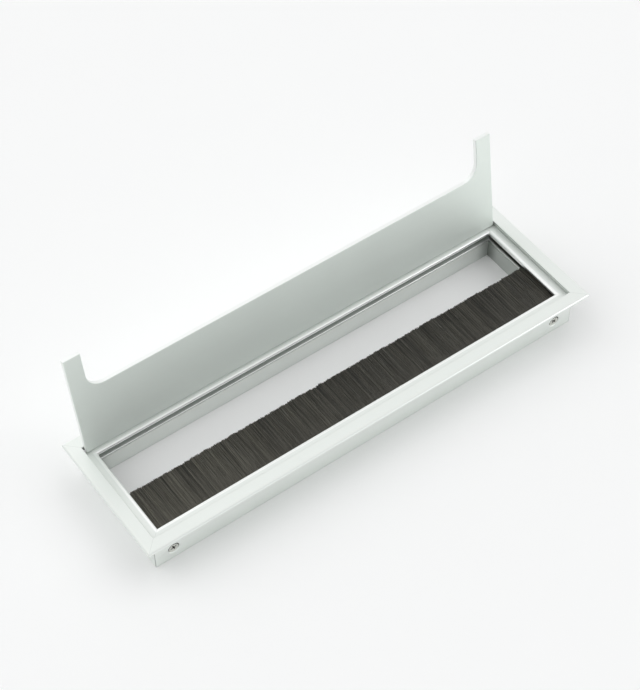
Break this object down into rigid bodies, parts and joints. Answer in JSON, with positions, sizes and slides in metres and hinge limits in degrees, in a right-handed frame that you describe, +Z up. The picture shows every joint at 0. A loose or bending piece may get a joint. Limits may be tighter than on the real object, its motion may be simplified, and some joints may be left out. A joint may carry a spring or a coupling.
{
  "type": "cable grommet",
  "caption": "Rectangular aluminium worktop cable outlet: mitred frame, black brush seal along the front and a hinged lid with a wide cable notch, standing open.",
  "frame": {"origin": "middle of the worktop cut-out, in the plane of the flange's underside", "axes": "+X along the frame's length, +Y towards the lid's hinge, +Z up out of the worktop"},
  "size_m": [0.275, 0.0815, 0.0838],
  "materials": {
    "frame_aluminium": "satin anodised",
    "lid_aluminium": "satin anodised",
    "key_steel": "zinc plated",
    "screw_nickel": "nickel plated",
    "pin_steel": "ground",
    "channel_steel": "galvanised",
    "wire_steel": "drawn",
    "bristle_black": "filament"
  },
  "bodies": {
    "frame": {"frame_front_rail": "frame_aluminium", "frame_back_rail": "frame_aluminium", "frame_left_rail": "frame_aluminium", "frame_right_rail": "frame_aluminium", "corner_key_front_left": "key_steel", "corner_key_front_right": "key_steel", "corner_key_back_left": "key_steel", "corner_key_back_right": "key_steel", "screw_front_left": "screw_nickel", "screw_front_right": "screw_nickel", "screw_back_left": "screw_nickel", "screw_back_right": "screw_nickel", "screw_left_front": "screw_nickel", "screw_left_back": "screw_nickel", "screw_right_front": "screw_nickel", "screw_right_back": "screw_nickel", "brush_channel": "channel_steel", "brush_core_wire": "wire_steel", "brush_bristles": "bristle_black"},
    "lid": {"lid": "lid_aluminium", "hinge_pin_left": "pin_steel", "hinge_pin_right": "pin_steel"}
  },
  "joints": [
    {"name": "lid_hinge", "type": "hinge", "parent": "frame", "child": "lid", "pos_m": [0, 0.0309, 0.00025], "axis": [1, 0, 0], "range_deg": [0, 98.7]}
  ]
}
